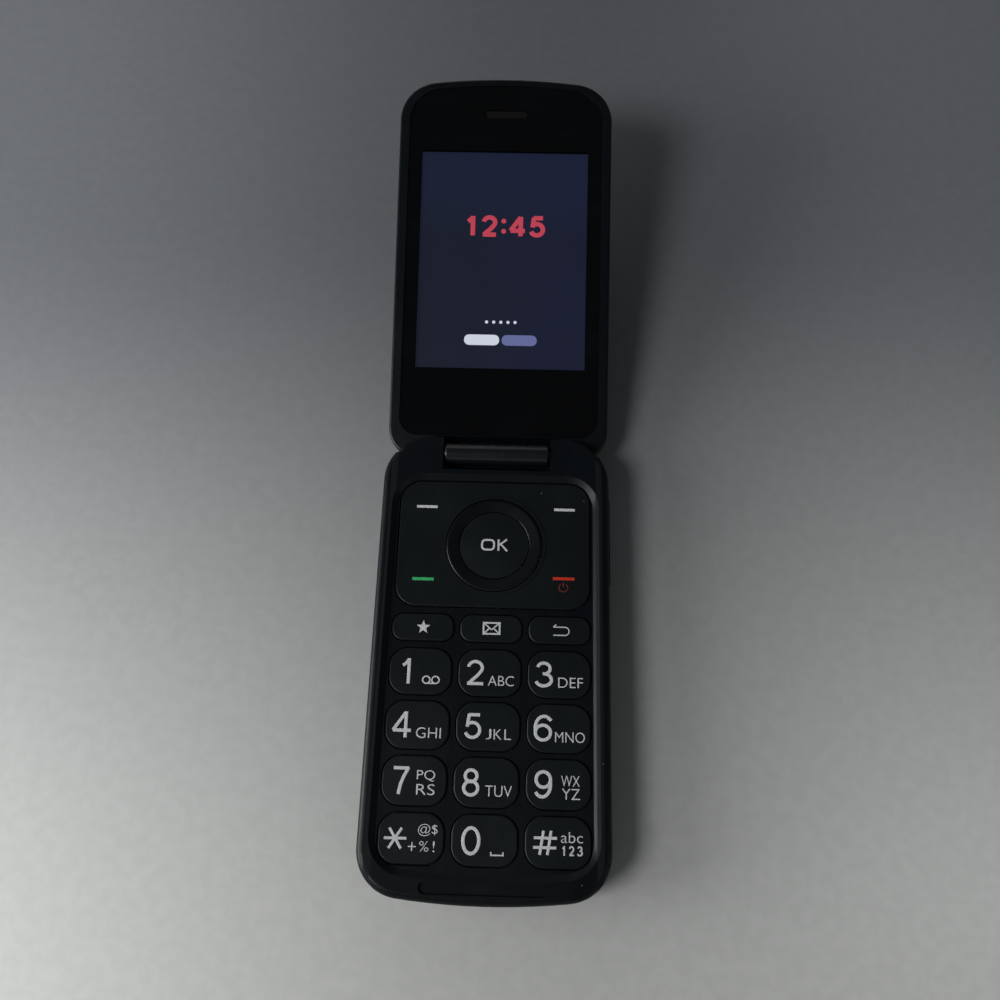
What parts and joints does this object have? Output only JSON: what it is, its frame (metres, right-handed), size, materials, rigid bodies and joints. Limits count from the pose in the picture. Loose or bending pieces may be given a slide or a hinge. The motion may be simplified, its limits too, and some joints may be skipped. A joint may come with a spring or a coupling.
{
  "type": "flip phone",
  "caption": "Clamshell mobile phone that folds on a hinge barrel, with a main display in the lid and a keypad with navigation ring in the base.",
  "frame": {"origin": "centre of the keypad half's flat back, on the face that it rests on", "axes": "+Y from the keypad's far end towards the display half, +Z out of the keys, +X to the right of someone reading the keys; rest pose is fully open"},
  "size_m": [0.0549, 0.199, 0.0314],
  "materials": {
    "front_housing": "fine satin texture, near black",
    "rear_housing": "fine satin texture, near black",
    "side_key": "satin",
    "key_plastic": "satin, with printed light grey legends",
    "plate_plastic": "satin, with green and red printed bars",
    "ring_plastic": "semi-gloss",
    "silicone": "matte",
    "circuit_board": "solder mask",
    "steel": "bright plated",
    "contact_gold": "gold plated",
    "battery_wrap": "film wrapped",
    "connector_black": "moulded",
    "screw_steel": "dark plated",
    "hinge_steel": "ground",
    "barrel_plastic": "semi-gloss dark grey",
    "wire": "insulated",
    "lid_frame_plastic": "fine satin texture, near black",
    "lid_cover_plastic": "dark satin",
    "screen_lens": "glossy, black printed border",
    "outer_lens_gloss": "glossy, black printed border",
    "display_panel": "dark navy when lit dim",
    "earpiece_mesh": "dark woven mesh",
    "camera_glass": "coated",
    "flash_plastic": "clear moulded",
    "magnet": "nickel plated"
  },
  "bodies": {
    "base": {"front_housing": "front_housing", "rear_housing": "rear_housing", "keypad_mat": "silicone", "dome_sheet": "steel", "main_board": "circuit_board", "shield_can": "steel", "battery": "battery_wrap", "battery_contacts": "contact_gold", "sim_card_holder": "steel", "usb_shell": "steel", "usb_tongue": "connector_black", "headset_jack": "connector_black", "loudspeaker": "connector_black", "microphone": "steel", "vibration_motor": "steel", "side_switches": "steel", "housing_screws": "screw_steel", "hinge_pin": "hinge_steel", "hinge_bush": "hinge_steel", "hinge_wire": "wire"},
    "lid": {"lid_frame": "lid_frame_plastic", "lid_cover": "lid_cover_plastic", "hinge_barrel": "barrel_plastic", "hinge_cartridge": "hinge_steel", "display_lens": "screen_lens", "main_display": "display_panel", "earpiece_mesh": "earpiece_mesh", "earpiece_receiver": "connector_black", "lid_board": "circuit_board", "lid_magnet": "magnet", "outer_lens": "outer_lens_gloss", "outer_display": "display_panel", "camera_module": "connector_black", "camera_lens": "camera_glass", "flash_lens": "flash_plastic"},
    "key_1": {"key_1": "key_plastic"},
    "key_2": {"key_2": "key_plastic"},
    "key_3": {"key_3": "key_plastic"},
    "key_4": {"key_4": "key_plastic"},
    "key_5": {"key_5": "key_plastic"},
    "key_6": {"key_6": "key_plastic"},
    "key_7": {"key_7": "key_plastic"},
    "key_8": {"key_8": "key_plastic"},
    "key_9": {"key_9": "key_plastic"},
    "key_star": {"key_star": "key_plastic"},
    "key_0": {"key_0": "key_plastic"},
    "key_hash": {"key_hash": "key_plastic"},
    "key_favourite": {"key_favourite": "key_plastic"},
    "key_message": {"key_message": "key_plastic"},
    "key_back": {"key_back": "key_plastic"},
    "ok_button": {"ok_button": "key_plastic"},
    "nav_ring": {"nav_ring": "ring_plastic"},
    "nav_ring_pads": {"nav_ring_pads": "silicone"},
    "function_plate": {"function_plate": "plate_plastic"},
    "function_plate_pads": {"function_plate_pads": "silicone"},
    "volume_rocker": {"volume_rocker": "side_key"},
    "battery_cover": {"battery_cover": "rear_housing"}
  },
  "joints": [
    {"name": "lid_fold", "type": "hinge", "parent": "base", "child": "lid", "pos_m": [0, 0.05072, 0.0096], "axis": [1, 0, 0], "range_deg": [0, 165.9]},
    {"name": "key_1_press", "type": "slide", "parent": "base", "child": "key_1", "axis": [0, 0, -1], "range_m": [0, 0.0003], "stiffness_N_per_m": 3000, "springref_m": -0.0002},
    {"name": "key_2_press", "type": "slide", "parent": "base", "child": "key_2", "axis": [0, 0, -1], "range_m": [0, 0.0003], "stiffness_N_per_m": 3000, "springref_m": -0.0002},
    {"name": "key_3_press", "type": "slide", "parent": "base", "child": "key_3", "axis": [0, 0, -1], "range_m": [0, 0.0003], "stiffness_N_per_m": 3000, "springref_m": -0.0002},
    {"name": "key_4_press", "type": "slide", "parent": "base", "child": "key_4", "axis": [0, 0, -1], "range_m": [0, 0.0003], "stiffness_N_per_m": 3000, "springref_m": -0.0002},
    {"name": "key_5_press", "type": "slide", "parent": "base", "child": "key_5", "axis": [0, 0, -1], "range_m": [0, 0.0003], "stiffness_N_per_m": 3000, "springref_m": -0.0002},
    {"name": "key_6_press", "type": "slide", "parent": "base", "child": "key_6", "axis": [0, 0, -1], "range_m": [0, 0.0003], "stiffness_N_per_m": 3000, "springref_m": -0.0002},
    {"name": "key_7_press", "type": "slide", "parent": "base", "child": "key_7", "axis": [0, 0, -1], "range_m": [0, 0.0003], "stiffness_N_per_m": 3000, "springref_m": -0.0002},
    {"name": "key_8_press", "type": "slide", "parent": "base", "child": "key_8", "axis": [0, 0, -1], "range_m": [0, 0.0003], "stiffness_N_per_m": 3000, "springref_m": -0.0002},
    {"name": "key_9_press", "type": "slide", "parent": "base", "child": "key_9", "axis": [0, 0, -1], "range_m": [0, 0.0003], "stiffness_N_per_m": 3000, "springref_m": -0.0002},
    {"name": "key_star_press", "type": "slide", "parent": "base", "child": "key_star", "axis": [0, 0, -1], "range_m": [0, 0.0003], "stiffness_N_per_m": 3000, "springref_m": -0.0002},
    {"name": "key_0_press", "type": "slide", "parent": "base", "child": "key_0", "axis": [0, 0, -1], "range_m": [0, 0.0003], "stiffness_N_per_m": 3000, "springref_m": -0.0002},
    {"name": "key_hash_press", "type": "slide", "parent": "base", "child": "key_hash", "axis": [0, 0, -1], "range_m": [0, 0.0003], "stiffness_N_per_m": 3000, "springref_m": -0.0002},
    {"name": "key_favourite_press", "type": "slide", "parent": "base", "child": "key_favourite", "axis": [0, 0, -1], "range_m": [0, 0.0003], "stiffness_N_per_m": 3000, "springref_m": -0.0002},
    {"name": "key_message_press", "type": "slide", "parent": "base", "child": "key_message", "axis": [0, 0, -1], "range_m": [0, 0.0003], "stiffness_N_per_m": 3000, "springref_m": -0.0002},
    {"name": "key_back_press", "type": "slide", "parent": "base", "child": "key_back", "axis": [0, 0, -1], "range_m": [0, 0.0003], "stiffness_N_per_m": 3000, "springref_m": -0.0002},
    {"name": "ok_press", "type": "slide", "parent": "base", "child": "ok_button", "axis": [0, 0, -1], "range_m": [0, 0.0003], "stiffness_N_per_m": 3000, "springref_m": -0.0002},
    {"name": "ring_tilt_updown", "type": "hinge", "parent": "base", "child": "nav_ring_pads", "pos_m": [0, 0.02778, 0.0102], "axis": [1, 0, 0], "range_deg": [-1.2, 1.2], "stiffness_Nm_per_rad": 1},
    {"name": "ring_tilt_sides", "type": "hinge", "parent": "nav_ring_pads", "child": "nav_ring", "pos_m": [0, 0.02778, 0.0102], "axis": [0, 1, 0], "range_deg": [-1.2, 1.2], "stiffness_Nm_per_rad": 1},
    {"name": "plate_tilt_updown", "type": "hinge", "parent": "base", "child": "function_plate_pads", "pos_m": [0, 0.02778, 0.0102], "axis": [1, 0, 0], "range_deg": [-0.8, 0.8], "stiffness_Nm_per_rad": 3},
    {"name": "plate_tilt_sides", "type": "hinge", "parent": "function_plate_pads", "child": "function_plate", "pos_m": [0, 0.02778, 0.0102], "axis": [0, 1, 0], "range_deg": [-0.8, 0.8], "stiffness_Nm_per_rad": 3},
    {"name": "volume_rock", "type": "hinge", "parent": "base", "child": "volume_rocker", "pos_m": [0.0249, 0.03018, 0.0067], "axis": [0, 0, 1], "range_deg": [-1.2, 1.2], "stiffness_Nm_per_rad": 1},
    {"name": "battery_cover_slide", "type": "slide", "parent": "base", "child": "battery_cover", "axis": [0, -1, 0], "range_m": [0, 0.006]}
  ]
}
